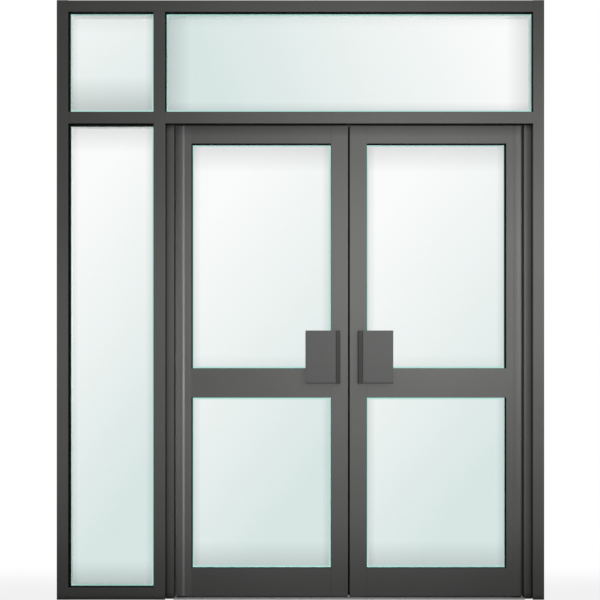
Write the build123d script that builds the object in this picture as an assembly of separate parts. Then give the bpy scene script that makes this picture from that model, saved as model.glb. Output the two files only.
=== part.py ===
# Glazed shop door: a double-action pair of leaves on pivots, with a sidelight
# on the left and fixed lights above. Millimetres, X to the right seen from the
# front, Y towards the inside, Z up. The origin is on the outer face of the left
# post, at floor level, in the middle of the frame's depth.
from build123d import *
import os

# Overall layout, seen from the front
FRAME_HEIGHT = 2600
SIDELIGHT_WIDTH = 370        # clear, between left post and mullion
DOORWAY_WIDTH = 1596         # clear, between mullion and right post
TRANSOM_UNDERSIDE = 2066     # above the floor

# Frame sections
SECTION_FACE = 50            # width of the left post, mullion, head and transoms
RIGHT_POST_FACE = 48
FRAME_DEPTH = 100
SILL_FACE = 54
WALL = 2.5                   # wall of every extruded section
EDGE_RADIUS = 1.0            # rounding on the outer edges of the sections

# Glazing
GLASS_THICKNESS = 10
GLASS_BITE = 10              # how far the glass enters the section
EDGE_CLEARANCE = 5           # between the glass edge and the pocket's bottom
FIXED_GLASS_OFFSET = -19     # fixed panes, towards the street from the middle of the frame
GASKET_THICKNESS = 6

# Pivot jambs and threshold
JAMB_FACE = 36
JAMB_DEPTH = 56
JAMB_RADIUS = 4
THRESHOLD_HEIGHT = 6
THRESHOLD_CHAMFER = 4

# Clearances round the leaves
JAMB_GAP = 5
MEETING_GAP = 8
TOP_GAP = 5
FLOOR_GAP = 5                # from the threshold to the leaf

# Leaf sections
LEAF_THICKNESS = 50
NOSE_RADIUS = 28             # round edge of the pivot stile, proud of both faces
PIVOT_STILE_FACE = 71
MEETING_STILE_FACE = 74
TOP_RAIL_FACE = 77
MID_RAIL_FACE = 127
BOTTOM_RAIL_FACE = 122
MID_RAIL_CENTRE = 940.5      # above the floor
MEETING_RADIUS = 1           # on the meeting edges

# Seal strip in the meeting edge
SEAL_WIDTH = 6
SEAL_GROOVE_DEPTH = 5
SEAL_PROUD = 2
SEAL_OFFSET = 6              # off the leaf's middle plane, so the two pass each other

# Pivots
PIN_RADIUS = 9
PIN_CLEARANCE = 0.05         # radial
PIN_REACH = 40               # into the leaf
COLLAR_RADIUS = 15
COLLAR_CLEARANCE = 0.3       # round the collar, and under the leaf
BLOCK_HEIGHT = 60
BLOCK_CLEARANCE = 0.3        # between the block and the stile
CARRIER_LENGTH = 80          # block inside the transom that carries the top pin
CARRIER_CLEARANCE = 0.3

# Handles
PLATE_WIDTH = 130
PLATE_HEIGHT = 229
PLATE_THICKNESS = 8
HANDLE_CHAMFER = 5           # along the bottom of the plate
SPINE_WIDTH = 20
SPINE_RADIUS = 2
SPINE_SETBACK = 3            # the spine's front behind the plate's front
HANDLE_PROJECTION = 55       # from the leaf to the front of the plate
HANDLE_EDGE_INSET = 35       # from the meeting edge to the spine
HANDLE_CENTRE = 1052         # above the floor

# Places that follow from the sizes
POCKET_WIDTH = GLASS_THICKNESS + 2 * GASKET_THICKNESS
POCKET_DEPTH = GLASS_BITE + EDGE_CLEARANCE
MULLION_LEFT = SECTION_FACE + SIDELIGHT_WIDTH
DOORWAY_LEFT = MULLION_LEFT + SECTION_FACE
DOORWAY_RIGHT = DOORWAY_LEFT + DOORWAY_WIDTH
DOOR_CENTRE = (DOORWAY_LEFT + DOORWAY_RIGHT) / 2
HEAD_UNDERSIDE = FRAME_HEIGHT - SECTION_FACE
TRANSOM_TOP = TRANSOM_UNDERSIDE + SECTION_FACE
HALF_LEAF = LEAF_THICKNESS / 2
LEAF_LEFT = DOORWAY_LEFT + JAMB_FACE + JAMB_GAP
LEAF_RIGHT = DOOR_CENTRE - MEETING_GAP / 2
LEAF_BOTTOM = THRESHOLD_HEIGHT + FLOOR_GAP
LEAF_TOP = TRANSOM_UNDERSIDE - TOP_GAP
PIVOT_X = LEAF_LEFT + NOSE_RADIUS
GLASS_LEFT = LEAF_LEFT + PIVOT_STILE_FACE
GLASS_RIGHT = LEAF_RIGHT - MEETING_STILE_FACE
MID_RAIL_LOW = MID_RAIL_CENTRE - MID_RAIL_FACE / 2
MID_RAIL_HIGH = MID_RAIL_CENTRE + MID_RAIL_FACE / 2
LOWER_GLASS_LOW = LEAF_BOTTOM + BOTTOM_RAIL_FACE
UPPER_GLASS_HIGH = LEAF_TOP - TOP_RAIL_FACE


def region(u_low, u_high, v_low, v_high):
    """A rectangle between two limits across the face (u) and in depth (v)."""
    middle = Pos((u_low + u_high) / 2, (v_low + v_high) / 2)
    return middle * Rectangle(u_high - u_low, v_high - v_low)


def hollow_section(face, depth, low_pocket=False, high_pocket=False, high_groove=0, offset=0):
    """Hollow extrusion with a glazing pocket in its low or high side, offset in depth."""
    half_face = face / 2
    half_depth = depth / 2
    pocket_front = offset - POCKET_WIDTH / 2
    pocket_back = offset + POCKET_WIDTH / 2
    section = RectangleRounded(face, depth, EDGE_RADIUS)
    low = -half_face + WALL
    high = half_face - WALL
    section -= region(low, high, -half_depth + WALL, pocket_front - WALL)
    section -= region(low, high, pocket_back + WALL, half_depth - WALL)
    high -= high_groove
    if low_pocket:
        section -= region(-half_face, -half_face + POCKET_DEPTH, pocket_front, pocket_back)
        low += POCKET_DEPTH
    if high_pocket:
        section -= region(half_face - POCKET_DEPTH, half_face, pocket_front, pocket_back)
        high -= POCKET_DEPTH
    return section - region(low, high, -half_depth + WALL, half_depth - WALL)


def upright(section, x_middle, z_low, z_high):
    """Extrude a section upwards, its face along X."""
    return extrude(Pos(x_middle, 0, z_low) * section, amount=z_high - z_low)


def crossbar(section, z_middle, x_low, x_high):
    """Extrude a section across, its face along Z with the high side up."""
    plane = Plane(origin=(x_high, 0, z_middle), x_dir=(0, 0, 1), z_dir=(-1, 0, 0))
    return extrude(plane * section, amount=x_high - x_low)


def slab(x_low, x_high, y_low, y_high, z_low, z_high):
    """A plain block between two limits each way."""
    middle = Pos((x_low + x_high) / 2, (y_low + y_high) / 2, (z_low + z_high) / 2)
    return middle * Box(x_high - x_low, y_high - y_low, z_high - z_low)


def pane(x_low, x_high, z_low, z_high, offset=0):
    """Glass for one daylight opening, reaching into the pockets all round."""
    front = offset - GLASS_THICKNESS / 2
    back = offset + GLASS_THICKNESS / 2
    return slab(
        x_low - GLASS_BITE, x_high + GLASS_BITE, front, back, z_low - GLASS_BITE, z_high + GLASS_BITE
    )


def gasket_ring(x_low, x_high, z_low, z_high, side, offset):
    """Gasket on the front (-1) or back (1) of a pane, flush with the pocket's mouth."""
    near = offset + side * GLASS_THICKNESS / 2
    far = offset + side * POCKET_WIDTH / 2
    y_low = min(near, far)
    y_high = max(near, far)
    outer = slab(
        x_low - GLASS_BITE, x_high + GLASS_BITE, y_low, y_high, z_low - GLASS_BITE, z_high + GLASS_BITE
    )
    return outer - slab(x_low, x_high, y_low, y_high, z_low, z_high)


def gaskets(lights, offset=0):
    """Front and back gasket rings for a list of daylight openings."""
    rings = []
    for light in lights:
        for side in (-1, 1):
            rings.append(gasket_ring(*light, side, offset))
    return Compound(children=rings)


def other_leaf(shape):
    """Turn a piece of the left leaf half round the middle of the doorway."""
    return Pos(2 * DOOR_CENTRE, 0, 0) * Rot(0, 0, 180) * shape


# Fixed lights: daylight openings as x_low, x_high, z_low, z_high
sidelight = (SECTION_FACE, MULLION_LEFT, SILL_FACE, TRANSOM_UNDERSIDE)
sidelight_top = (SECTION_FACE, MULLION_LEFT, TRANSOM_TOP, HEAD_UNDERSIDE)
fanlight = (DOORWAY_LEFT, DOORWAY_RIGHT, TRANSOM_TOP, HEAD_UNDERSIDE)

nodes = {}

# Frame: posts and mullion run through, the crossbars fit between them
forward = FIXED_GLASS_OFFSET
post_left = hollow_section(SECTION_FACE, FRAME_DEPTH, high_pocket=True, offset=forward)
post_right = hollow_section(RIGHT_POST_FACE, FRAME_DEPTH, low_pocket=True, offset=forward)
head_section = hollow_section(SECTION_FACE, FRAME_DEPTH, low_pocket=True, offset=forward)
post_both = hollow_section(SECTION_FACE, FRAME_DEPTH, low_pocket=True, high_pocket=True, offset=forward)
half_face = SECTION_FACE / 2
nodes["left_post"] = upright(post_left, half_face, 0, FRAME_HEIGHT)
nodes["right_post"] = upright(post_right, DOORWAY_RIGHT + RIGHT_POST_FACE / 2, 0, FRAME_HEIGHT)
nodes["mullion"] = upright(post_both, MULLION_LEFT + half_face, 0, HEAD_UNDERSIDE)
nodes["head"] = crossbar(head_section, FRAME_HEIGHT - half_face, SECTION_FACE, DOORWAY_RIGHT)
transom_middle = TRANSOM_UNDERSIDE + half_face
nodes["sidelight_transom"] = crossbar(post_both, transom_middle, SECTION_FACE, MULLION_LEFT)
door_transom = crossbar(post_left, transom_middle, DOORWAY_LEFT, DOORWAY_RIGHT)
sill_section = hollow_section(SILL_FACE, FRAME_DEPTH, high_pocket=True, offset=forward)
nodes["sidelight_sill"] = crossbar(sill_section, SILL_FACE / 2, SECTION_FACE, MULLION_LEFT)

# Pivot jambs: plain hollow boxes that stop short of the leaf's round nose
jamb_section = RectangleRounded(JAMB_FACE, JAMB_DEPTH, JAMB_RADIUS)
jamb_section -= Rectangle(JAMB_FACE - 2 * WALL, JAMB_DEPTH - 2 * WALL)
left_jamb = upright(jamb_section, DOORWAY_LEFT + JAMB_FACE / 2, 0, TRANSOM_UNDERSIDE)
nodes["left_pivot_jamb"] = left_jamb
nodes["right_pivot_jamb"] = other_leaf(left_jamb)

# Threshold: a low strip with sloping edges, bored for the floor pivots
threshold_section = region(0, THRESHOLD_HEIGHT, -FRAME_DEPTH / 2, FRAME_DEPTH / 2)
top_corners = threshold_section.vertices().sort_by(Axis.X)[-2:]
threshold_section = chamfer(top_corners, length=THRESHOLD_CHAMFER)
threshold = crossbar(threshold_section, 0, DOORWAY_LEFT + JAMB_FACE, DOORWAY_RIGHT - JAMB_FACE)
collar_hole = Cylinder(COLLAR_RADIUS + COLLAR_CLEARANCE, 4 * THRESHOLD_HEIGHT)

# Pivots: a collared pin through the threshold, and a pin carried in the transom
collar_height = LEAF_BOTTOM - COLLAR_CLEARANCE
floor_pin = Pos(0, 0, collar_height / 2) * Cylinder(COLLAR_RADIUS, collar_height)
shank = LEAF_BOTTOM + PIN_REACH
floor_pin += Pos(0, 0, shank / 2) * Cylinder(PIN_RADIUS, shank)
carrier_floor = TRANSOM_UNDERSIDE + WALL
carrier_top = TRANSOM_TOP - POCKET_DEPTH - WALL - CARRIER_CLEARANCE
carrier_half = POCKET_WIDTH / 2 - CARRIER_CLEARANCE
top_pin = slab(
    -CARRIER_LENGTH / 2, CARRIER_LENGTH / 2, -carrier_half, carrier_half, carrier_floor, carrier_top
)
pin_tip = LEAF_TOP - PIN_REACH
top_pin += Pos(0, 0, (pin_tip + carrier_top) / 2) * Cylinder(PIN_RADIUS, carrier_top - pin_tip)
pin_hole = Cylinder(PIN_RADIUS + PIN_CLEARANCE, 4 * WALL)
floor_pins = []
top_pins = []
for pivot_x in (PIVOT_X, 2 * DOOR_CENTRE - PIVOT_X):
    threshold -= Pos(pivot_x, 0, 0) * collar_hole
    door_transom -= Pos(pivot_x, 0, TRANSOM_UNDERSIDE) * pin_hole
    floor_pins.append(Pos(pivot_x, 0, 0) * floor_pin)
    top_pins.append(Pos(pivot_x, 0, 0) * top_pin)
nodes["threshold"] = threshold
nodes["door_transom"] = door_transom
nodes["floor_pivots"] = Compound(children=floor_pins)
nodes["top_pivots"] = Compound(children=top_pins)

# Fixed glass
nodes["sidelight_glass"] = pane(*sidelight, forward)
nodes["sidelight_top_glass"] = pane(*sidelight_top, forward)
nodes["fanlight_glass"] = pane(*fanlight, forward)
nodes["frame_gaskets"] = gaskets([sidelight, sidelight_top, fanlight], forward)

# Left leaf: stiles run through and the rails fit between them
leaf = {}


def nose_outline(inset, back):
    """The round nose and the box behind it, to a given back, all pulled in by an inset."""
    shape = Pos(NOSE_RADIUS, 0) * Circle(NOSE_RADIUS - inset)
    shape &= region(0, back, -NOSE_RADIUS, NOSE_RADIUS)
    return shape + region(NOSE_RADIUS, back, inset - HALF_LEAF, HALF_LEAF - inset)


# Pivot stile: round nose about the pivot, glazing pocket on the other side
pocket_low = PIVOT_STILE_FACE - POCKET_DEPTH
pivot_section = nose_outline(0, PIVOT_STILE_FACE)
pivot_section -= region(pocket_low, PIVOT_STILE_FACE, -POCKET_WIDTH / 2, POCKET_WIDTH / 2)
pivot_section -= nose_outline(WALL, pocket_low - WALL)
for side in (-1, 1):
    lip_near = side * (POCKET_WIDTH / 2 + WALL)
    lip_far = side * (HALF_LEAF - WALL)
    pivot_section -= region(
        pocket_low, PIVOT_STILE_FACE - WALL, min(lip_near, lip_far), max(lip_near, lip_far)
    )
leaf["pivot_stile"] = upright(pivot_section, LEAF_LEFT, LEAF_BOTTOM, LEAF_TOP)

# Pivot blocks: bored blocks that fill the nose chamber at both ends
block_inset = WALL + BLOCK_CLEARANCE
block_section = nose_outline(block_inset, pocket_low - block_inset)
block = upright(block_section, LEAF_LEFT, LEAF_BOTTOM, LEAF_BOTTOM + BLOCK_HEIGHT)
bore = Cylinder(PIN_RADIUS + PIN_CLEARANCE, 4 * BLOCK_HEIGHT)
block -= Pos(PIVOT_X, 0, LEAF_BOTTOM) * bore
block_lift = LEAF_TOP - LEAF_BOTTOM - BLOCK_HEIGHT
leaf["pivot_blocks"] = Compound(children=[block, Pos(0, 0, block_lift) * block])

# Meeting stile: rounded edges, and a groove that holds the seal strip
half_meeting = MEETING_STILE_FACE / 2
meeting_section = hollow_section(
    MEETING_STILE_FACE, LEAF_THICKNESS, low_pocket=True, high_groove=SEAL_GROOVE_DEPTH
)
rounding = region(half_meeting - MEETING_RADIUS, half_meeting, -HALF_LEAF, HALF_LEAF)
rounded = Pos(half_meeting - 2 * MEETING_RADIUS, 0) * RectangleRounded(
    4 * MEETING_RADIUS, LEAF_THICKNESS, MEETING_RADIUS
)
meeting_section -= rounding - rounded
seal_low = SEAL_OFFSET - SEAL_WIDTH / 2
seal_high = SEAL_OFFSET + SEAL_WIDTH / 2
seal_floor = half_meeting - SEAL_GROOVE_DEPTH
meeting_section -= region(seal_floor, half_meeting, seal_low, seal_high)
meeting_x = LEAF_RIGHT - half_meeting
leaf["meeting_stile"] = upright(meeting_section, meeting_x, LEAF_BOTTOM, LEAF_TOP)

# Seal strip: fills the groove and stands a little out of the edge, with a round lip
seal_section = region(seal_floor, half_meeting, seal_low, seal_high)
lip = region(half_meeting, half_meeting + SEAL_PROUD, seal_low, seal_high)
lip_corners = lip.vertices().sort_by(Axis.X)[-2:]
seal_section += fillet(lip_corners, radius=0.9 * SEAL_PROUD)
leaf["meeting_seal"] = upright(seal_section, meeting_x, LEAF_BOTTOM, LEAF_TOP)

# Rails
top_section = hollow_section(TOP_RAIL_FACE, LEAF_THICKNESS, low_pocket=True)
mid_section = hollow_section(MID_RAIL_FACE, LEAF_THICKNESS, low_pocket=True, high_pocket=True)
bottom_section = hollow_section(BOTTOM_RAIL_FACE, LEAF_THICKNESS, high_pocket=True)
leaf["top_rail"] = crossbar(top_section, LEAF_TOP - TOP_RAIL_FACE / 2, GLASS_LEFT, GLASS_RIGHT)
leaf["mid_rail"] = crossbar(mid_section, MID_RAIL_CENTRE, GLASS_LEFT, GLASS_RIGHT)
leaf["bottom_rail"] = crossbar(bottom_section, LEAF_BOTTOM + BOTTOM_RAIL_FACE / 2, GLASS_LEFT, GLASS_RIGHT)

# Leaf glass
upper_light = (GLASS_LEFT, GLASS_RIGHT, MID_RAIL_HIGH, UPPER_GLASS_HIGH)
lower_light = (GLASS_LEFT, GLASS_RIGHT, LOWER_GLASS_LOW, MID_RAIL_LOW)
leaf["upper_glass"] = pane(*upper_light)
leaf["lower_glass"] = pane(*lower_light)
leaf["gaskets"] = gaskets([upper_light, lower_light])

# Handles: a spine on the meeting stile carries a broad plate over the glass
spine_right = LEAF_RIGHT - HANDLE_EDGE_INSET
spine_left = spine_right - SPINE_WIDTH
leaf_face = -HALF_LEAF
plate_front = leaf_face - HANDLE_PROJECTION
handle_low = HANDLE_CENTRE - PLATE_HEIGHT / 2
handle_high = HANDLE_CENTRE + PLATE_HEIGHT / 2
spine = slab(spine_left, spine_right, plate_front + SPINE_SETBACK, leaf_face, handle_low, handle_high)
free_edge = spine.faces().sort_by(Axis.Y)[0].edges().filter_by(Axis.Z).sort_by(Axis.X)[-1]
spine = fillet(free_edge, radius=SPINE_RADIUS)
plate = slab(
    spine_left - PLATE_WIDTH, spine_left, plate_front, plate_front + PLATE_THICKNESS, handle_low, handle_high
)
bottom_edge = plate.faces().sort_by(Axis.Y)[0].edges().filter_by(Axis.X).sort_by(Axis.Z)[0]
plate = chamfer(bottom_edge, length=HANDLE_CHAMFER)
leaf["front_handle_spine"] = spine
leaf["front_handle_plate"] = plate
leaf["back_handle_spine"] = mirror(spine, about=Plane.XZ)
leaf["back_handle_plate"] = mirror(plate, about=Plane.XZ)

# Both leaves: turned half round, the left leaf's front becomes the right leaf's back
turned_name = {
    "front_handle_spine": "back_handle_spine",
    "front_handle_plate": "back_handle_plate",
    "back_handle_spine": "front_handle_spine",
    "back_handle_plate": "front_handle_plate",
}
for name, shape in leaf.items():
    nodes["left_" + name] = shape
    nodes["right_" + turned_name.get(name, name)] = other_leaf(shape)

os.makedirs("parts", exist_ok=True)
for name, shape in nodes.items():
    export_step(shape, f"parts/{name}.step")
print(len(nodes), "nodes written")
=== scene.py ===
# %% [markdown]
# A shop door in dark grey aluminium: two glazed leaves that swing both ways on
# pivots, a tall sidelight on the left, and fixed lights above. The solids come
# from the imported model, which is loaded here as a fixed frame. Every piece in
# this file is in metres and in that same frame: X to the right, Y towards the
# inside of the shop, Z up, and the floor at zero.

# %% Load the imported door
import math

import bpy
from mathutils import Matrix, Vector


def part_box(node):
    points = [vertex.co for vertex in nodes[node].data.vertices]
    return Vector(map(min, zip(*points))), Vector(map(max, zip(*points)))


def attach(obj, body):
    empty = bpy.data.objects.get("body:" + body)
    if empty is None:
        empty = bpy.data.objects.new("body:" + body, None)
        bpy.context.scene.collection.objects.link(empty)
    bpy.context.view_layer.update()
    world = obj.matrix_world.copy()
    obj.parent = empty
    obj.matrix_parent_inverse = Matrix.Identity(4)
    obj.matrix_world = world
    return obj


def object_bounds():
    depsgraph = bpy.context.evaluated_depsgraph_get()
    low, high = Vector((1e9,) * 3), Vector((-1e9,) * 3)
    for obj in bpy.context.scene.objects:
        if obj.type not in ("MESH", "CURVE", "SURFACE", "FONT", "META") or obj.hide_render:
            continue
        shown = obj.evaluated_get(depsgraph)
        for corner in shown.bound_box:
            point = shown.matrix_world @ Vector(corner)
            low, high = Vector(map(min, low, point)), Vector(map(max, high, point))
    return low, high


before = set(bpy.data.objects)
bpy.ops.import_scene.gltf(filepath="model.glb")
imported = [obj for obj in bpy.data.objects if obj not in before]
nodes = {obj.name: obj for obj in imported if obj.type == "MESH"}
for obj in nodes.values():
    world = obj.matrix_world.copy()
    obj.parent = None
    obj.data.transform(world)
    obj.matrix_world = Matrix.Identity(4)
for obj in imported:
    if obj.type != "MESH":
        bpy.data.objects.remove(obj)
cad_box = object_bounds()
print("nodes:", len(nodes), "box:", [list(c) for c in cad_box])

# %% [markdown]
# The photograph looks straight at the door from a few steps away, with the lens
# as high as the handles' lower ends, so all its uprights stay upright and the
# handles on the far side hide behind the near ones. A lens of about 66 mm on a
# 36 mm sensor, 4.8 m in front of the frame, spans just over the frame's height, and
# a small upward shift puts the whole frame in the picture. The reveals on the far
# sides of the panes then show as thin dark lines, as they do in the photograph.

# %% Camera straight in front
VIEW_SPAN = 2.6015
VIEW_DISTANCE = 4.8
VIEW_HEIGHT = 0.95
VIEW_OFFSET = 0.002
SENSOR = 36.0
low, high = cad_box
front_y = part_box("left_post")[0][1]
camera_data = bpy.data.cameras.new("street_camera")
camera_data.sensor_width = SENSOR
camera_data.lens = SENSOR * VIEW_DISTANCE / VIEW_SPAN
camera_data.shift_y = ((low[2] + high[2]) / 2 - VIEW_HEIGHT) / VIEW_SPAN
camera = bpy.data.objects.new("street_camera", camera_data)
bpy.context.scene.collection.objects.link(camera)
camera.location = ((low[0] + high[0]) / 2 - VIEW_OFFSET, front_y - VIEW_DISTANCE, VIEW_HEIGHT)
camera.rotation_euler = (math.radians(90), 0, 0)
bpy.context.scene.camera = camera
print("lens", round(camera_data.lens, 1), "mm at", [round(v, 3) for v in camera.location])

# %% [markdown]
# The studio is plain: a pale floor, a white surround and soft lamps that never show.
# The surround is white to the camera and in reflections, but gives only a little
# light, so that the lamps shape the metal. A tall lamp stands close in front, right
# of the middle, so the metal is brightest there and falls off to the left and
# towards the floor. A lamp above is blocked only by the transom, which shades the
# leaves just below it. A lamp far out on the right is blocked only by the right post,
# a weak one fills in from the left, and one behind keeps the inside from going dark.
#
# Three more lamps light only the pivot stiles. One gives nothing but a gleam on the
# left nose, and two graze the noses from the sides. The lamps with no shadow come near
# the even shading of the photograph.

# %% White surround
SURROUND_LIGHT = 0.06
scene = bpy.context.scene
scene.view_settings.view_transform = "Standard"
world = bpy.data.worlds.new("white_surround")
scene.world = world
world.use_nodes = True
world_tree = world.node_tree
world_tree.nodes.clear()


def seen_directly(tree):
    """One where a ray comes from the camera, a reflection or through glass."""
    path = tree.nodes.new("ShaderNodeLightPath")
    first = tree.nodes.new("ShaderNodeMath")
    first.operation = "MAXIMUM"
    tree.links.new(path.outputs["Is Camera Ray"], first.inputs[0])
    tree.links.new(path.outputs["Is Glossy Ray"], first.inputs[1])
    second = tree.nodes.new("ShaderNodeMath")
    second.operation = "MAXIMUM"
    tree.links.new(first.outputs[0], second.inputs[0])
    tree.links.new(path.outputs["Is Transmission Ray"], second.inputs[1])
    return second.outputs[0]


soft_light = world_tree.nodes.new("ShaderNodeBackground")
soft_light.inputs["Color"].default_value = (1, 1, 1, 1)
soft_light.inputs["Strength"].default_value = SURROUND_LIGHT
white_view = world_tree.nodes.new("ShaderNodeBackground")
white_view.inputs["Color"].default_value = (1, 1, 1, 1)
white_view.inputs["Strength"].default_value = 1.0
choose = world_tree.nodes.new("ShaderNodeMixShader")
world_out = world_tree.nodes.new("ShaderNodeOutputWorld")
world_tree.links.new(seen_directly(world_tree), choose.inputs[0])
world_tree.links.new(soft_light.outputs[0], choose.inputs[1])
world_tree.links.new(white_view.outputs[0], choose.inputs[2])
world_tree.links.new(choose.outputs[0], world_out.inputs["Surface"])
print("surround light", SURROUND_LIGHT)

# %% Broad lamps


def broad_lamp(
    name, power, size, spot, aim, spread_deg=180, shadow=True, only=(), blocked_by=(), tall=1.0, gloss=False
):
    """A soft lamp that faces a point and never shows itself. It may light only some nodes, be
    blocked by only some, be some times as tall as it is wide, or give only gloss."""
    lamp_data = bpy.data.lights.new(name, "AREA")
    lamp_data.shape = "RECTANGLE"
    lamp_data.size = size
    lamp_data.size_y = size * tall
    lamp_data.energy = power
    lamp_data.use_shadow = shadow
    lamp_data.spread = math.radians(spread_deg)
    lamp = bpy.data.objects.new(name, lamp_data)
    scene.collection.objects.link(lamp)
    lamp.location = spot
    offset = [a - b for a, b in zip(aim, spot)]
    flat = math.hypot(offset[0], offset[1])
    tilt = math.atan2(flat, -offset[2])
    heading = math.atan2(offset[1], offset[0]) - math.pi / 2
    lamp.rotation_euler = (tilt, 0, heading)
    lamp.visible_camera = False
    lamp.visible_transmission = False
    lamp.visible_glossy = gloss
    lamp.visible_diffuse = not gloss
    for use, chosen in (("receiver_collection", only), ("blocker_collection", blocked_by)):
        if chosen:
            group = bpy.data.collections.new(f"{name}_{use}")
            for node in chosen:
                group.objects.link(nodes[node])
            setattr(lamp.light_linking, use, group)
    print(name, power, "W")


LEFT_NOSE = ["left_pivot_stile"]
RIGHT_NOSE = ["right_pivot_stile"]
broad_lamp("street_lamp", 15.4, 0.9, (1.49, -1.15, 1.43), (1.47, 0, 1.43), shadow=False, tall=2.0)
broad_lamp("sky_lamp", 5.5, 1.3, (1.0, -1.2, 3.45), (1.0, 0, 2.0), blocked_by=["door_transom"])
broad_lamp(
    "right_lamp", 9.5, 0.8, (3.9, -1.6, 1.58), (1.4, 0, 1.50),
    spread_deg=62, blocked_by=["right_post"],
)
broad_lamp("left_lamp", 2.5, 0.8, (-1.3, -1.4, 0.95), (0.6, 0, 0.95), spread_deg=60, shadow=False)
broad_lamp("inside_lamp", 40, 1.8, (1.0, 2.6, 1.8), (1.0, 0, 1.4))
broad_lamp(
    "crest_lamp", 240, 0.3, (2.2, -2.6, 1.1), (0.54, 0, 1.1),
    shadow=False, only=LEFT_NOSE, tall=8.0, gloss=True,
)
broad_lamp(
    "flank_lamp", 13, 0.8, (-2.1, 0.1, 1.1), (0.54, 0, 1.1),
    spread_deg=80, shadow=False, only=LEFT_NOSE,
)
broad_lamp(
    "far_flank_lamp", 10, 0.8, (4.6, 0.1, 1.2), (2.0, 0, 1.2),
    spread_deg=80, shadow=False, only=RIGHT_NOSE,
)

# %% Pale floor
FLOOR_REACH = 12.0
FLOOR_DROP = 0.0005
FLOOR_GREY = 0.35
FLOOR_NEAR = (0.1, 0.86)
FLOOR_FAR = (0.9, 1.0)
bpy.ops.object.select_all(action="DESELECT")
bpy.ops.mesh.primitive_plane_add(size=2 * FLOOR_REACH, location=(camera.location[0], 0, -FLOOR_DROP))
floor = bpy.context.object
floor.name = "studio_floor"
bpy.ops.object.transform_apply(location=True, rotation=True, scale=True)
floor_paint = bpy.data.materials.new("floor_paint")
floor_paint.use_nodes = True
floor_tree = floor_paint.node_tree
floor_tree.nodes.clear()
matt = floor_tree.nodes.new("ShaderNodeBsdfDiffuse")
matt.inputs["Color"].default_value = (FLOOR_GREY, FLOOR_GREY, FLOOR_GREY, 1)
glow = floor_tree.nodes.new("ShaderNodeEmission")
glow.inputs["Color"].default_value = (1, 1, 1, 1)
floor_place = floor_tree.nodes.new("ShaderNodeTexCoord")
floor_split = floor_tree.nodes.new("ShaderNodeSeparateXYZ")
distance = floor_tree.nodes.new("ShaderNodeMath")
distance.operation = "ABSOLUTE"
whiten = floor_tree.nodes.new("ShaderNodeMapRange")
whiten.interpolation_type = "SMOOTHSTEP"
whiten.inputs["From Min"].default_value, whiten.inputs["To Min"].default_value = FLOOR_NEAR
whiten.inputs["From Max"].default_value, whiten.inputs["To Max"].default_value = FLOOR_FAR
floor_tree.links.new(floor_place.outputs["Object"], floor_split.inputs[0])
floor_tree.links.new(floor_split.outputs["Y"], distance.inputs[0])
floor_tree.links.new(distance.outputs[0], whiten.inputs["Value"])
share = floor_tree.nodes.new("ShaderNodeMath")
share.operation = "MULTIPLY"
floor_tree.links.new(whiten.outputs["Result"], share.inputs[1])
floor_mix = floor_tree.nodes.new("ShaderNodeMixShader")
floor_out = floor_tree.nodes.new("ShaderNodeOutputMaterial")
floor_tree.links.new(seen_directly(floor_tree), share.inputs[0])
floor_tree.links.new(share.outputs[0], floor_mix.inputs[0])
floor_tree.links.new(matt.outputs[0], floor_mix.inputs[1])
floor_tree.links.new(glow.outputs[0], floor_mix.inputs[2])
floor_tree.links.new(floor_mix.outputs[0], floor_out.inputs["Surface"])
floor.data.materials.append(floor_paint)
print("floor", 2 * FLOOR_REACH, "m wide")

# %% [markdown]
# All finishes here are made of a few small building blocks: a shader on its
# output, a noise pattern that reads the piece's own coordinates in metres, a
# range that turns the pattern into a colour or a roughness, and a bump. Writing
# them once keeps each finish short enough to read.

# %% Building blocks for finishes


def new_finish(name):
    """An empty material with one Principled shader, and its tree."""
    finish = bpy.data.materials.new(name)
    finish.use_nodes = True
    return finish, finish.node_tree, finish.node_tree.nodes["Principled BSDF"]


def place(tree, stretch=(1, 1, 1)):
    """The piece's own coordinates in metres, stretched for streaks or brushing."""
    coordinate = tree.nodes.new("ShaderNodeTexCoord")
    mapping = tree.nodes.new("ShaderNodeMapping")
    mapping.inputs["Scale"].default_value = stretch
    tree.links.new(coordinate.outputs["Object"], mapping.inputs["Vector"])
    return mapping.outputs["Vector"]


def noise(tree, where, scale, detail=2.0, roughness=0.5):
    """A noise pattern of that many cells in a metre."""
    pattern = tree.nodes.new("ShaderNodeTexNoise")
    pattern.inputs["Scale"].default_value = scale
    pattern.inputs["Detail"].default_value = detail
    pattern.inputs["Roughness"].default_value = roughness
    tree.links.new(where, pattern.inputs["Vector"])
    return pattern.outputs["Fac"]


def spread(tree, value, start, end, low_value, high_value, smooth=False):
    """Map a value between two limits to another range."""
    ranged = tree.nodes.new("ShaderNodeMapRange")
    if smooth:
        ranged.interpolation_type = "SMOOTHSTEP"
    ranged.inputs["From Min"].default_value = start
    ranged.inputs["From Max"].default_value = end
    ranged.inputs["To Min"].default_value = low_value
    ranged.inputs["To Max"].default_value = high_value
    tree.links.new(value, ranged.inputs["Value"])
    return ranged.outputs["Result"]


def blend_colours(tree, factor, first, second):
    """Mix two colours; each is a tuple of three numbers or another colour socket."""
    mix = tree.nodes.new("ShaderNodeMix")
    mix.data_type = "RGBA"
    tree.links.new(factor, mix.inputs["Factor"])
    colour_inputs = [s for s in mix.inputs if s.type == "RGBA"]
    for socket, colour in zip(colour_inputs, (first, second)):
        if isinstance(colour, tuple):
            socket.default_value = (*colour, 1)
        else:
            tree.links.new(colour, socket)
    return [s for s in mix.outputs if s.type == "RGBA"][0]


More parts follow.
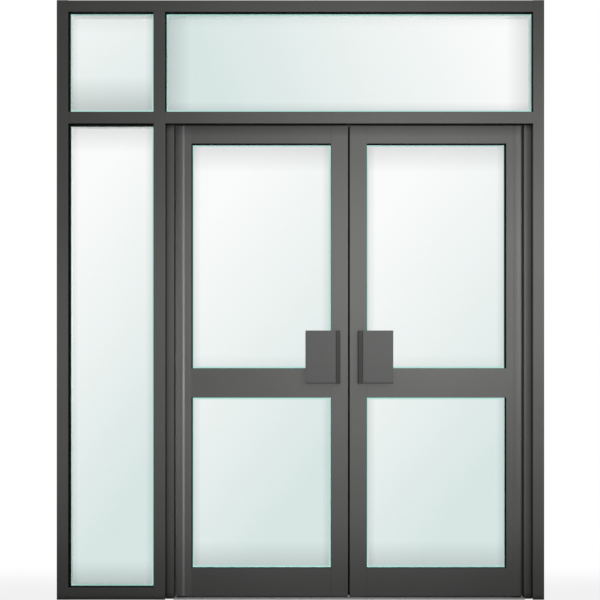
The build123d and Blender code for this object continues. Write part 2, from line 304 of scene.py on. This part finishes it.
def combine(tree, operation, first, second):
    """One step of arithmetic between sockets or numbers."""
    step = tree.nodes.new("ShaderNodeMath")
    step.operation = operation
    for socket, value in zip(step.inputs, (first, second)):
        if isinstance(value, (int, float)):
            socket.default_value = value
        else:
            tree.links.new(value, socket)
    return step.outputs[0]


def scale_colour(tree, colour, factor):
    """A colour made darker by a factor between nought and one."""
    scaled = tree.nodes.new("ShaderNodeVectorMath")
    scaled.operation = "SCALE"
    tree.links.new(colour, scaled.inputs[0])
    tree.links.new(factor, scaled.inputs["Scale"])
    return scaled.outputs["Vector"]


def openness(tree, reach):
    """One on open faces, falling towards nought deep in corners and narrow gaps."""
    occlusion = tree.nodes.new("ShaderNodeAmbientOcclusion")
    occlusion.samples = 8
    occlusion.inputs["Distance"].default_value = reach
    return occlusion.outputs["AO"]


def bump(tree, shader, height, strength, distance):
    """Raise the surface a little by a pattern."""
    raised = tree.nodes.new("ShaderNodeBump")
    raised.inputs["Strength"].default_value = strength
    raised.inputs["Distance"].default_value = distance
    tree.links.new(height, raised.inputs["Height"])
    tree.links.new(raised.outputs["Normal"], shader.inputs["Normal"])


def paint(piece, finish):
    """Make the finish the only one on a piece."""
    piece.data.materials.clear()
    piece.data.materials.append(finish)


def dress(finish, *names):
    """Give the finish to CAD nodes by name."""
    for name in names:
        paint(nodes[name], finish)


print("finish helpers ready")

# %% [markdown]
# Powder coat is a plastic skin baked on the aluminium. Up close it has a fine
# orange-peel texture, and over a metre its colour drifts slightly. A noise of
# about two millimetres gives the peel, a broad one the drift, and both also vary
# the roughness, so highlights break up as they do on a real section. Shade is
# painted into the colour: the coat is much darker in the rebates and the gaps round
# the leaves, darker towards the floor, and darker on the leaves just under the
# transom, where a shadow is painted.

# %% Dark grey powder coat
# Painted shade near the floor and painted shadow under the transom: the height each reaches and the share
# of colour left.
FLOOR_SHADE_HIGH = 0.36
FLOOR_SHADE_SHARE = 0.76
TRANSOM_SHADE_DEEP = 0.05
TRANSOM_SHADE_SHARE = 0.62


def powder_coat(name, dark, light, satin, shade_reach, shaded_below=None):
    """A satin powder coat between two near colours, with shade painted darker into its corners,
    towards the floor and, where a height is given, as a painted shadow just under that height."""
    finish, tree, shader = new_finish(name)
    broad = noise(tree, place(tree), scale=1.7, detail=3.0)
    fine = noise(tree, place(tree), scale=420.0, roughness=0.6)
    broad_part = combine(tree, "MULTIPLY", broad, 0.7)
    fine_part = combine(tree, "MULTIPLY", fine, 0.3)
    speckle = combine(tree, "ADD", broad_part, fine_part)
    colour = blend_colours(tree, spread(tree, speckle, 0.35, 0.65, 0.0, 1.0), dark, light)
    # Painted shade: ambient occlusion darkens the colour in corners and gaps.
    shade_factor = spread(tree, openness(tree, shade_reach), 0.30, 1.0, 0.22, 1.0, True)
    height = tree.nodes.new("ShaderNodeSeparateXYZ")
    tree.links.new(place(tree), height.inputs[0])
    level = height.outputs["Z"]
    # Painted shade, darker towards the floor.
    floor_shade = spread(tree, level, 0.0, FLOOR_SHADE_HIGH, FLOOR_SHADE_SHARE, 1.0, True)
    shade_factor = combine(tree, "MULTIPLY", shade_factor, floor_shade)
    # Painted shadow on the leaves just under the transom.
    if shaded_below:
        transom_shade = spread(tree, level, shaded_below - TRANSOM_SHADE_DEEP, shaded_below, 1.0, TRANSOM_SHADE_SHARE)
        shade_factor = combine(tree, "MULTIPLY", shade_factor, transom_shade)
    tree.links.new(scale_colour(tree, colour, shade_factor), shader.inputs["Base Color"])
    tree.links.new(spread(tree, speckle, 0.3, 0.7, satin - 0.05, satin + 0.06), shader.inputs["Roughness"])
    tree.links.new(spread(tree, shade_factor, 0.0, 1.0, 0.02, 0.2), shader.inputs["Specular IOR Level"])
    bump(tree, shader, fine, strength=0.12, distance=0.0004)
    return finish


frame_coat = powder_coat(
    "frame_coat", (0.094, 0.096, 0.091), (0.108, 0.110, 0.105),
    satin=0.46, shade_reach=0.033,
)
leaf_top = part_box("left_top_rail")[1][2]
leaf_coat = powder_coat(
    "leaf_coat", (0.098, 0.100, 0.096), (0.112, 0.114, 0.110),
    satin=0.42, shade_reach=0.005, shaded_below=leaf_top,
)
dress(
    frame_coat, "left_post", "right_post", "mullion", "head", "sidelight_transom", "door_transom",
    "sidelight_sill", "left_pivot_jamb", "right_pivot_jamb",
)
for hand in ("left", "right"):
    for member in ("pivot_stile", "meeting_stile", "top_rail", "mid_rail", "bottom_rail"):
        dress(leaf_coat, hand + "_" + member)
print("coated", frame_coat.name, leaf_coat.name)

# %% [markdown]
# The pull plates are a slightly darker grey than the leaves, and the spines that
# carry them are darker still, which reads in the photograph as a narrow dark strip
# beside each plate.

# %% Handle finishes
plate_coat = powder_coat(
    "plate_coat", (0.070, 0.072, 0.070), (0.080, 0.082, 0.079),
    satin=0.4, shade_reach=0.006,
)
spine_coat = powder_coat(
    "spine_coat", (0.029, 0.031, 0.030), (0.036, 0.038, 0.036),
    satin=0.44, shade_reach=0.006,
)
for hand in ("left", "right"):
    for face in ("front", "back"):
        dress(plate_coat, f"{hand}_{face}_handle_plate")
        dress(spine_coat, f"{hand}_{face}_handle_spine")
print("handles coated")

# %% [markdown]
# The threshold is bare aluminium. Shoes and weather have dulled it, so only part of it
# still shines as metal and the rest is a pale film. The pivots are turned steel and
# are metal throughout. The streaks come from a noise that is drawn out along the
# threshold, and squeezed along the pivots into rings as a lathe leaves them.

# %% Bare metals


def bare_metal(name, dark, light, stretch, rough, bright):
    """A bare metal with fine streaks from a scaled noise. The bright share still shines as
    metal, and the rest is a dull film."""
    finish, tree, shader = new_finish(name)
    shader.inputs["Metallic"].default_value = bright
    streak = noise(tree, place(tree, stretch), scale=60.0, detail=4.0, roughness=0.6)
    tree.links.new(blend_colours(tree, streak, dark, light), shader.inputs["Base Color"])
    tree.links.new(spread(tree, streak, 0.3, 0.7, rough - 0.08, rough + 0.1), shader.inputs["Roughness"])
    bump(tree, shader, streak, strength=0.1, distance=0.0004)
    return finish


threshold_metal = bare_metal(
    "threshold_metal", (0.30, 0.30, 0.30), (0.41, 0.41, 0.41), (0.15, 6, 6), rough=0.50, bright=0.25
)
pivot_steel = bare_metal(
    "pivot_steel", (0.10, 0.10, 0.10), (0.16, 0.16, 0.16), (1, 1, 12), rough=0.38, bright=1.0
)
dress(threshold_metal, "threshold")
dress(pivot_steel, "floor_pivots", "top_pivots", "left_pivot_blocks", "right_pivot_blocks")
print("metals done")

# %% [markdown]
# The gaskets and the seal strips are black rubber: almost no colour, a soft dull
# sheen, and a faint grain.

# %% Black rubber
rubber, rubber_tree, rubber_shader = new_finish("black_rubber")
grain = noise(rubber_tree, place(rubber_tree), scale=300.0, detail=3.0)
rubber_colour = blend_colours(rubber_tree, grain, (0.0018, 0.002, 0.0019), (0.0050, 0.0054, 0.0052))
rubber_tree.links.new(rubber_colour, rubber_shader.inputs["Base Color"])
rubber_tree.links.new(spread(rubber_tree, grain, 0.3, 0.7, 0.55, 0.75), rubber_shader.inputs["Roughness"])
rubber_shader.inputs["Specular IOR Level"].default_value = 0.04
bump(rubber_tree, rubber_shader, grain, strength=0.1, distance=0.0003)
dress(rubber, "frame_gaskets", "left_gaskets", "right_gaskets", "left_meeting_seal", "right_meeting_seal")
print("rubber done")

# %% [markdown]
# Each pane is pale, with a painted reflection over it: nearly white at one end and
# blue-green at the other. The tall panes go blue-green towards the floor and slightly
# towards the right, and the long top light goes blue-green towards the left. A soft
# grey painted shade lies along the edges, deepest at the foot of the small top light,
# and a thin turquoise line runs right beside the frame: a painted reflection of the
# cut edge of the glass. The line is wider on the edges that the frame partly hides.
# All of these follow distances in metres on the pane.

# %% Pale glass
BITE = 0.010
WHITE_GLASS = (0.950, 0.963, 0.957)
TEAL_GLASS = (0.672, 0.784, 0.762)
# The turquoise of the painted reflection in the cut edge of the glass.
LINE_GLASS = (0.44, 0.74, 0.68)


def pane_glass(name, middle, rightward, downward, lines, shades):
    """Glass for one pane. The blue-green share of the painted reflection is given at its middle
    and for each metre to the right and down, then for the left, right, low and high edges the
    width of the painted edge line and the reach and depth of the painted shade."""
    (x_low, _, z_low), (x_high, _, z_high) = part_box(name)
    x_low, x_high = x_low + BITE, x_high - BITE
    z_low, z_high = z_low + BITE, z_high - BITE
    finish, tree, shader = new_finish("pale_" + name)
    where = place(tree)
    split = tree.nodes.new("ShaderNodeSeparateXYZ")
    tree.links.new(where, split.inputs[0])
    across, up = split.outputs["X"], split.outputs["Z"]
    from_middle = combine(tree, "SUBTRACT", across, (x_low + x_high) / 2)
    right_part = combine(tree, "MULTIPLY", from_middle, rightward)
    below_middle = combine(tree, "SUBTRACT", (z_low + z_high) / 2, up)
    low_part = combine(tree, "MULTIPLY", below_middle, downward)
    # Painted reflection: white to blue-green across the pane.
    cloud = combine(tree, "SUBTRACT", noise(tree, where, scale=1.3, detail=1.0), 0.5)
    drift = combine(tree, "ADD", combine(tree, "ADD", right_part, low_part), middle)
    drift = combine(tree, "ADD", drift, combine(tree, "MULTIPLY", cloud, 0.1))
    colour = blend_colours(tree, spread(tree, drift, 0.0, 1.0, 0.0, 1.0), WHITE_GLASS, TEAL_GLASS)
    clear = None
    distances = (
        combine(tree, "SUBTRACT", across, x_low),
        combine(tree, "SUBTRACT", x_high, across),
        combine(tree, "SUBTRACT", up, z_low),
        combine(tree, "SUBTRACT", z_high, up),
    )
    # Painted shade along each edge, and the painted turquoise edge line beside the frame.
    for distance, line, (reach, depth) in zip(distances, lines, shades):
        colour = scale_colour(tree, colour, spread(tree, distance, 0.0, reach, depth, 1.0))
        inside = spread(tree, distance, 0.55 * line, line, 0.0, 1.0, True)
        clear = inside if clear is None else combine(tree, "MINIMUM", clear, inside)
    tree.links.new(blend_colours(tree, clear, LINE_GLASS, colour), shader.inputs["Base Color"])
    shader.inputs["Transmission Weight"].default_value = 1.0
    shader.inputs["IOR"].default_value = 1.45
    smear = noise(tree, where, scale=9.0, detail=3.0)
    tree.links.new(spread(tree, smear, 0.3, 0.7, 0.02, 0.06), shader.inputs["Roughness"])
    dress(finish, name)


SIDE = (0.040, 0.79)
TOP = (0.120, 0.75)
SOFT_TOP = (0.090, 0.88)
FOOT = (0.115, 0.72)
DEEP_FOOT = (0.160, 0.64)
ENDS = (0.110, 0.72)
FAINT = (0.060, 0.90)
LEDGE = (0.050, 0.78)
TRACE = (0.020, 0.97)
FINE = 0.0080
NARROW = 0.0105
WIDE = 0.0140
LOW_WIDE = 0.0172
pane_glass(
    "sidelight_glass", middle=0.53, rightward=0.85, downward=0.63,
    lines=(NARROW, WIDE, NARROW, NARROW), shades=(SIDE, SIDE, FOOT, TOP),
)
pane_glass(
    "sidelight_top_glass", middle=0.54, rightward=0.60, downward=0.90,
    lines=(NARROW, WIDE, LOW_WIDE, FINE), shades=(SIDE, SIDE, DEEP_FOOT, SOFT_TOP),
)
pane_glass(
    "fanlight_glass", middle=0.52, rightward=-0.76, downward=0.30,
    lines=(NARROW, NARROW, LOW_WIDE, NARROW), shades=(ENDS, ENDS, LEDGE, FAINT),
)
leaf_lines = (NARROW, NARROW, NARROW, NARROW)
for hand in ("left", "right"):
    pane_glass(
        hand + "_upper_glass", middle=0.27, rightward=0.70, downward=0.63,
        lines=leaf_lines, shades=(SIDE, SIDE, FAINT, TOP),
    )
    pane_glass(
        hand + "_lower_glass", middle=0.84, rightward=0.80, downward=0.60,
        lines=leaf_lines, shades=(SIDE, SIDE, FOOT, TRACE),
    )
print("panes glazed")

# %% [markdown]
# Brush pile closes the gaps: a row of stiff fibre tufts on a narrow backing strip,
# with a thin fin in the middle. One black strip sits in each meeting edge, in front of
# the rubber seal on the left leaf and behind it on the right one. Grey strips sit in
# the pivot jambs against the round noses, and under each leaf, front and back, as
# sweeps. A tuft is a cube whose outer end is inset, and an array repeats it along the
# strip. The fibres stop just short of the piece they brush, and the sweeps start
# outside the rings round the floor pivots, so the leaves swing past freely.

# %% Brush pile
TUFT_PITCH = 0.0026
TUFT_WIDE = 0.0021
TUFT_DEEP = 0.0046
STRIP_THICK = 0.0012
STRIP_DEEP = 0.0062
STRIP_BEVEL = 0.0004
FIN_THICK = 0.0006
FIN_SHORT = 0.0003
FIN_INSET = 0.0001
TUFT_INSET = 0.0004
ROOT_SINK = 0.0002
SAME_PLACE = 1e-5


def pile_finish(name, dark, light):
    """Dull fibres between two near greys."""
    finish, tree, shader = new_finish(name)
    fibre = noise(tree, place(tree, (1, 1, 3)), scale=900.0)
    tree.links.new(blend_colours(tree, fibre, (dark,) * 3, (light,) * 3), shader.inputs["Base Color"])
    tree.links.new(spread(tree, fibre, 0.3, 0.7, 0.8, 0.95), shader.inputs["Roughness"])
    shader.inputs["Specular IOR Level"].default_value = 0.05
    bump(tree, shader, fibre, strength=0.3, distance=0.0004)
    return finish


black_pile = pile_finish("black_pile", dark=0.001, light=0.004)
grey_pile = pile_finish("grey_pile", dark=0.034, light=0.052)


def select_faces(mesh_object, axis, value):
    """Select the faces whose middle lies at one place along an axis."""
    bpy.ops.object.mode_set(mode="EDIT")
    bpy.ops.mesh.select_all(action="DESELECT")
    bpy.ops.object.mode_set(mode="OBJECT")
    for face in mesh_object.data.polygons:
        face.select = abs(face.center[axis] - value) < SAME_PLACE
    bpy.ops.object.mode_set(mode="EDIT")


def block(name, low_corner, high_corner):
    """A box between two corners, alone in the selection."""
    bpy.ops.object.select_all(action="DESELECT")
    middle = [(a + b) / 2 for a, b in zip(low_corner, high_corner)]
    bpy.ops.mesh.primitive_cube_add(size=1, location=middle)
    piece = bpy.context.object
    piece.name = name
    piece.scale = [b - a for a, b in zip(low_corner, high_corner)]
    bpy.ops.object.transform_apply(location=True, rotation=True, scale=True)
    return piece


def brush_pile(name, finish, root, y_middle, start, end, reach, facing, body, level=False):
    """A row of tufts on a strip with a fin in its middle. An upright row runs up from start to
    end and faces along X; a level one runs to the right and faces along Z."""

    def piece(piece_name, out_from, out_to, deep, along_from, along_to):
        out = sorted((root + facing * out_from, root + facing * out_to))
        along = (along_from, along_to)
        x_span, z_span = (along, out) if level else (out, along)
        return block(
            piece_name,
            (x_span[0], y_middle - deep / 2, z_span[0]),
            (x_span[1], y_middle + deep / 2, z_span[1]),
        )

    axis = 2 if level else 0
    strip = piece(name, 0, STRIP_THICK, STRIP_DEEP, start, end)
    select_faces(strip, axis, root + facing * STRIP_THICK)
    bpy.ops.mesh.bevel(offset=STRIP_BEVEL, segments=1)
    bpy.ops.object.mode_set(mode="OBJECT")
    fin = piece(name + "_fin", STRIP_THICK - ROOT_SINK, reach - FIN_SHORT, FIN_THICK, start, end)
    select_faces(fin, axis, root + facing * (reach - FIN_SHORT))
    bpy.ops.mesh.inset(thickness=FIN_INSET)
    bpy.ops.object.mode_set(mode="OBJECT")
    tuft = piece(name + "_tuft", STRIP_THICK - ROOT_SINK, reach, TUFT_DEEP, start, start + TUFT_WIDE)
    select_faces(tuft, axis, root + facing * reach)
    bpy.ops.mesh.inset(thickness=TUFT_INSET)
    bpy.ops.object.mode_set(mode="OBJECT")
    row = tuft.modifiers.new("row", "ARRAY")
    row.count = int((end - start) / TUFT_PITCH)
    row.use_relative_offset = False
    row.use_constant_offset = True
    row.constant_offset_displace = (TUFT_PITCH, 0, 0) if level else (0, 0, TUFT_PITCH)
    bpy.ops.object.modifier_apply(modifier="row")
    bpy.ops.object.select_all(action="DESELECT")
    for part in (tuft, fin, strip):
        part.select_set(True)
    bpy.context.view_layer.objects.active = strip
    bpy.ops.object.join()
    paint(strip, finish)
    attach(strip, body)
    print(name, len(strip.data.polygons), "faces")


PILE_OFFSET = 0.006
PILE_END = 0.001
MEETING_REACH = 0.0039
left_low, left_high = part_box("left_meeting_stile")
right_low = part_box("right_meeting_stile")[0]
z_low, z_high = left_low[2] + PILE_END, left_high[2] - PILE_END
brush_pile(
    "left_meeting_pile", black_pile, left_high[0], -PILE_OFFSET,
    z_low, z_high, MEETING_REACH, 1, "left_leaf",
)
brush_pile(
    "right_meeting_pile", black_pile, right_low[0], PILE_OFFSET,
    z_low, z_high, MEETING_REACH, -1, "right_leaf",
)

# %% Brush pile in the jambs and under the leaves
JAMB_REACH = 0.0046
SWEEP_REACH = 0.0042
SWEEP_OFFSET = 0.019
SWEEP_START = 0.050
JAMB_END = 0.0005
jamb_edge, far_jamb_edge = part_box("left_pivot_jamb")[1][0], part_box("right_pivot_jamb")[0][0]
z_low, z_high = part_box("threshold")[1][2] + JAMB_END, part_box("left_pivot_jamb")[1][2] - JAMB_END
brush_pile("left_jamb_pile", grey_pile, jamb_edge, 0, z_low, z_high, JAMB_REACH, 1, "frame")
brush_pile("right_jamb_pile", grey_pile, far_jamb_edge, 0, z_low, z_high, JAMB_REACH, -1, "frame")
left_start, left_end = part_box("left_pivot_stile")[0][0] + SWEEP_START, left_high[0] - PILE_END
right_start, right_end = right_low[0] + PILE_END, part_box("right_pivot_stile")[1][0] - SWEEP_START
under = left_low[2]
for side, y_middle in (("front", -SWEEP_OFFSET), ("back", SWEEP_OFFSET)):
    for hand, start, end in (("left", left_start, left_end), ("right", right_start, right_end)):
        brush_pile(
            f"{hand}_{side}_sweep", grey_pile, under, y_middle, start, end, SWEEP_REACH, -1,
            hand + "_leaf", level=True,
        )

# %% [markdown]
# Under the transom, in front of the leaves and behind them, a flat black rubber strip
# keeps the draught out. It is the pure black line that runs across above the leaves,
# and its black also stands in for the shade in the gap there. Each strip is a block
# whose lower edges are bevelled.

# %% Rubber strips under the transom
STRIP_DROP = 0.0016
STRIP_EDGE = 0.0014
STRIP_ROOM = 0.0005
STRIP_ROUND = 0.0005
under_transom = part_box("door_transom")[0][2]
transom_front, transom_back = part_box("door_transom")[0][1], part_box("door_transom")[1][1]
strip_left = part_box("door_transom")[0][0] + STRIP_ROOM
strip_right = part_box("door_transom")[1][0] - STRIP_ROOM
jamb_front, jamb_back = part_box("left_pivot_jamb")[0][1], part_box("left_pivot_jamb")[1][1]
for side, y_from, y_to in (
    ("front", transom_front + STRIP_EDGE, jamb_front - STRIP_ROOM),
    ("back", jamb_back + STRIP_ROOM, transom_back - STRIP_EDGE),
):
    strip = block(
        f"transom_{side}_strip",
        (strip_left, y_from, under_transom - STRIP_DROP),
        (strip_right, y_to, under_transom),
    )
    select_faces(strip, 2, under_transom - STRIP_DROP)
    bpy.ops.mesh.bevel(offset=STRIP_ROUND, segments=2)
    bpy.ops.object.mode_set(mode="OBJECT")
    # Black rubber, also standing in for the shade in the gap above the leaves.
    paint(strip, rubber)
    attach(strip, "frame")
print("transom strips done")

# %% [markdown]
# Every pane in the photograph has a fine black line round it. It is taken here as a thin
# black rubber lip on the sides of the opening, in front of the glass. The bright
# turquoise line beside the black one is taken as a pale bead that holds the pane from
# behind and is seen through the glass. A lining is drawn from a cube as large as the
# opening: its front and back are taken off, and the band that is left is thickened
# inwards. The lip is not equally wide on all sides: where it is wider its black also
# stands in for the shade in the reveal, and on top of the sidelight for the shade line
# level with the gap above the leaves. So each inner side is then moved to its own width.

# %% Rubber linings round the panes
LINING_THICK = 0.0028
LINING_SETBACK = 0.0012

bead_plastic, bead_tree, bead_shader = new_finish("pale_bead")
bead_grain = noise(bead_tree, place(bead_tree), scale=120.0)
bead_colour = blend_colours(bead_tree, bead_grain, (0.86, 0.88, 0.87), (0.92, 0.94, 0.93))
bead_tree.links.new(bead_colour, bead_shader.inputs["Base Color"])
bead_tree.links.new(spread(bead_tree, bead_grain, 0.3, 0.7, 0.4, 0.55), bead_shader.inputs["Roughness"])


def lining(name, glass, face_y, finish, body, widths):
    """A band on the four sides of an opening, from near the face to the glass. The widths
    are for the left, right, low and high sides."""
    glass_low, glass_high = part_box(glass)
    near = glass_low[1] if face_y < glass_low[1] else glass_high[1]
    inward = math.copysign(1, near - face_y)
    start = face_y + inward * LINING_SETBACK
    band_low = (glass_low[0] + BITE, min(start, near), glass_low[2] + BITE)
    band_high = (glass_high[0] - BITE, max(start, near), glass_high[2] - BITE)
    band = block(name, band_low, band_high)
    for edge in (band_low[1], band_high[1]):
        select_faces(band, 1, edge)
        bpy.ops.mesh.delete(type="FACE")
        bpy.ops.object.mode_set(mode="OBJECT")
    thicken = band.modifiers.new("thicken", "SOLIDIFY")
    thicken.thickness = LINING_THICK
    thicken.offset = -1
    thicken.use_even_offset = True
    bpy.ops.object.modifier_apply(modifier="thicken")
    for (axis, way), width in zip(((0, 1), (0, -1), (2, 1), (2, -1)), widths):
        outer = band_low[axis] if way > 0 else band_high[axis]
        shift = [0, 0, 0]
        shift[axis] = way * (width - LINING_THICK)
        bpy.ops.object.mode_set(mode="EDIT")
        bpy.ops.mesh.select_mode(type="VERT")
        bpy.ops.mesh.select_all(action="DESELECT")
        bpy.ops.object.mode_set(mode="OBJECT")
        for vertex in band.data.vertices:
            vertex.select = abs(vertex.co[axis] - outer - way * LINING_THICK) < SAME_PLACE
        bpy.ops.object.mode_set(mode="EDIT")
        bpy.ops.transform.translate(value=shift)
        bpy.ops.mesh.select_mode(type="FACE")
        bpy.ops.object.mode_set(mode="OBJECT")
    paint(band, finish)
    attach(band, body)
    return band


# %% Linings and beads of the fixed panes
THIN = 0.0008
PLAIN = 0.0028
BROAD = 0.0042
BROADER = 0.0064
HEAVY = 0.0080
HEAVIEST = 0.0090
BEAD = (0.0012, 0.0012, 0.0012, 0.0012)
face_front, face_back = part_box("left_post")[0][1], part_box("left_post")[1][1]
# Wider lips also stand in for shade in the reveals, the sidelight's top one for the shade line level with
# the gap above the leaves.
fixed_widths = {
    "sidelight": (HEAVY, THIN, PLAIN, HEAVIEST),
    "sidelight_top": (BROADER, THIN, THIN, THIN),
    "fanlight": (BROAD, PLAIN, THIN, PLAIN),
}
beads = []
for pane_name, widths in fixed_widths.items():
    glass = pane_name + "_glass"
    lining(pane_name + "_front_lining", glass, face_front, rubber, "frame", widths)
    beads.append(lining(pane_name + "_back_bead", glass, face_back, bead_plastic, "frame", BEAD))
print(len(beads), "fixed panes lined")

# %% Linings and beads of the leaves
leaf_front, leaf_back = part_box("left_mid_rail")[0][1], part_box("left_mid_rail")[1][1]
# Wider lips also stand in for shade in the reveals.
leaf_widths = {
    "left_upper": (BROAD, THIN, THIN, BROAD),
    "left_lower": (BROAD, THIN, THIN, THIN),
    "right_upper": (THIN, BROADER, THIN, BROAD),
    "right_lower": (THIN, BROAD, THIN, THIN),
}
for pane_name, widths in leaf_widths.items():
    body = pane_name.split("_")[0] + "_leaf"
    glass = pane_name + "_glass"
    lining(pane_name + "_front_lining", glass, leaf_front, rubber, body, widths)
    beads.append(lining(pane_name + "_back_bead", glass, leaf_back, bead_plastic, body, BEAD))
print(len(beads), "panes lined")

# %% [markdown]
# The sections are cut square, so their open ends are closed with moulded caps where
# they would show: on top of the two outer posts and of the meeting stiles. A cap is a
# thin block whose upper edges are bevelled. The stile caps stop short of the seal's
# groove and leave room under the transom.

# %% End caps
CAP_THICK = 0.0012
CAP_INSET = 0.0006
CAP_BEVEL = 0.0004
SEAL_ROOM = 0.006


def end_cap(name, node, left_room, right_room, finish, body):
    """A cap on the top end of an upright, kept in from its sides."""
    (x_low, y_low, _), (x_high, y_high, z_top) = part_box(node)
    cap = block(
        name,
        (x_low + left_room, y_low + CAP_INSET, z_top),
        (x_high - right_room, y_high - CAP_INSET, z_top + CAP_THICK),
    )
    select_faces(cap, 2, z_top + CAP_THICK)
    bpy.ops.mesh.bevel(offset=CAP_BEVEL, segments=2)
    bpy.ops.object.mode_set(mode="OBJECT")
    paint(cap, finish)
    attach(cap, body)
    print(name, len(cap.data.polygons), "faces")


for side in ("left", "right"):
    end_cap(side + "_post_cap", side + "_post", CAP_INSET, CAP_INSET, frame_coat, "frame")
end_cap("left_stile_cap", "left_meeting_stile", CAP_INSET, SEAL_ROOM, leaf_coat, "left_leaf")
end_cap("right_stile_cap", "right_meeting_stile", SEAL_ROOM, CAP_INSET, leaf_coat, "right_leaf")

# %% [markdown]
# The threshold is screwed to the floor along both edges with flat-headed screws. A head
# is a short cylinder whose top is bevelled at the rim, then inset and pushed down as
# a socket for the key. The heads stand in a row along each edge and are joined into
# one piece.

# %% Threshold screws
HEAD_RADIUS = 0.0042
HEAD_PROUD = 0.0003
HEAD_DEEP = 0.003
HEAD_BEVEL = 0.0003
SOCKET_RIM = 0.0018
SOCKET_DEEP = 0.0012
SCREW_OUT = 0.036
SCREW_ENDS = 0.085
SCREW_COUNT = 5
threshold_low, threshold_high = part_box("threshold")
heads = []
step = (threshold_high[0] - threshold_low[0] - 2 * SCREW_ENDS) / (SCREW_COUNT - 1)
head_top = threshold_high[2] + HEAD_PROUD
for y_middle in (-SCREW_OUT, SCREW_OUT):
    for number in range(SCREW_COUNT):
        bpy.ops.object.select_all(action="DESELECT")
        bpy.ops.mesh.primitive_cylinder_add(
            vertices=24, radius=HEAD_RADIUS, depth=HEAD_DEEP,
            location=(threshold_low[0] + SCREW_ENDS + number * step, y_middle, head_top - HEAD_DEEP / 2),
        )
        head = bpy.context.object
        bpy.ops.object.transform_apply(location=True, rotation=True, scale=True)
        select_faces(head, 2, head_top)
        bpy.ops.mesh.bevel(offset=HEAD_BEVEL, segments=2)
        bpy.ops.object.mode_set(mode="OBJECT")
        select_faces(head, 2, head_top)
        bpy.ops.mesh.inset(thickness=SOCKET_RIM)
        bpy.ops.mesh.extrude_region_move(TRANSFORM_OT_translate={"value": (0, 0, -SOCKET_DEEP)})
        bpy.ops.object.mode_set(mode="OBJECT")
        heads.append(head)
bpy.ops.object.select_all(action="DESELECT")
for head in heads:
    head.select_set(True)
bpy.context.view_layer.objects.active = heads[0]
bpy.ops.object.join()
screws = bpy.context.object
screws.name = "threshold_screws"
paint(screws, pivot_steel)
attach(screws, "frame")
print("screws", len(screws.data.polygons), "faces")

# %% [markdown]
# The floor pivots have a black ring round them, between the leaf and the threshold,
# that keeps grit out of the bearing. It is a disc whose two ends are inset, and the
# inner faces are bridged, which leaves a ring.

# %% Rings round the floor pivots
RING_OUT = 0.0260
RING_WALL = 0.0100
RING_CLEAR = 0.0004
PIVOT_REACH = 0.028
ring_low, ring_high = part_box("threshold")[1][2], left_low[2] - RING_CLEAR
for name, pivot_x in (
    ("left_pivot_ring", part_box("left_pivot_stile")[0][0] + PIVOT_REACH),
    ("right_pivot_ring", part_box("right_pivot_stile")[1][0] - PIVOT_REACH),
):
    bpy.ops.object.select_all(action="DESELECT")
    bpy.ops.mesh.primitive_cylinder_add(
        vertices=48, radius=RING_OUT, depth=ring_high - ring_low,
        location=(pivot_x, 0, (ring_low + ring_high) / 2),
    )
    ring = bpy.context.object
    ring.name = name
    bpy.ops.object.transform_apply(location=True, rotation=True, scale=True)
    for level in (ring_low, ring_high):
        select_faces(ring, 2, level)
        bpy.ops.mesh.inset(thickness=RING_WALL)
        bpy.ops.object.mode_set(mode="OBJECT")
    bpy.ops.object.mode_set(mode="EDIT")
    bpy.ops.mesh.select_all(action="DESELECT")
    bpy.ops.object.mode_set(mode="OBJECT")
    for face in ring.data.polygons:
        face.select = len(face.vertices) > 4
    bpy.ops.object.mode_set(mode="EDIT")
    bpy.ops.mesh.bridge_edge_loops()
    bpy.ops.object.mode_set(mode="OBJECT")
    paint(ring, rubber)
    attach(ring, "frame")
    print(name, len(ring.data.polygons), "faces")

# %% [markdown]
# The beads catch the light of the shop behind the door. One soft lamp behind the middle
# of the door, which lights nothing else and casts no shadow, stands for that.

# %% Light on the beads
broad_lamp("bead_lamp", 46, 1.0, (1.055, 2.0, 1.0), (1.055, 0, 1.2), shadow=False)
bead_group = bpy.data.collections.new("bead_lamp_lit")
for bead in beads:
    bead_group.objects.link(bead)
bpy.data.objects["bead_lamp"].light_linking.receiver_collection = bead_group
